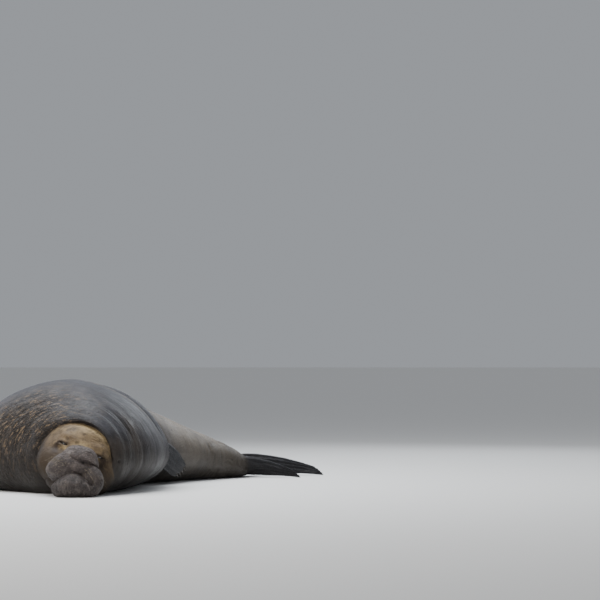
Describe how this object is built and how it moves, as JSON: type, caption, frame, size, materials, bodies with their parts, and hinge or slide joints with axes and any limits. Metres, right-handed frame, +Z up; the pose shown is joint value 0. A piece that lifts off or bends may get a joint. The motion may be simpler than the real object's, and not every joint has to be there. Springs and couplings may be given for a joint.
{
  "type": "elephant seal",
  "caption": "Bull northern elephant seal asleep on its belly, life size, with a folded hanging nose, hooded neck, tucked fore flippers and trailing hind flippers.",
  "frame": {"origin": "middle of the footprint's box, at ground level", "axes": "+Z up, -Y the way the face looks, +Y back along the body, +X to the animal's left, where its tail end bends"},
  "size_m": [2.8908, 3.3998, 0.8165],
  "materials": {
    "body_hide": "short flat grey-brown coat, blue-grey on the back and lighter tan-grey towards the tail, scarred and wrinkled at the neck",
    "face_hide": "short tan coat with dark tear stains",
    "nose_hide": "bare grey-brown skin with fine wrinkles, slightly moist",
    "flipper_hide": "dark grey skin with a dull sheen",
    "eye": "wet dark eye between almost closed lids",
    "claw": "dark worn horn",
    "whisker": "stiff pale bristle"
  },
  "bodies": {
    "root": {"head": "face_hide", "lower_jaw": "face_hide", "proboscis": "nose_hide", "eye_left": "eye", "eye_right": "eye", "neck": "body_hide", "chest": "body_hide", "belly": "body_hide", "hindquarters": "body_hide", "tail": "flipper_hide", "fore_flipper_left": "flipper_hide", "fore_flipper_right": "flipper_hide", "hind_flipper_left": "flipper_hide", "hind_flipper_right": "flipper_hide"}
  },
  "joints": []
}
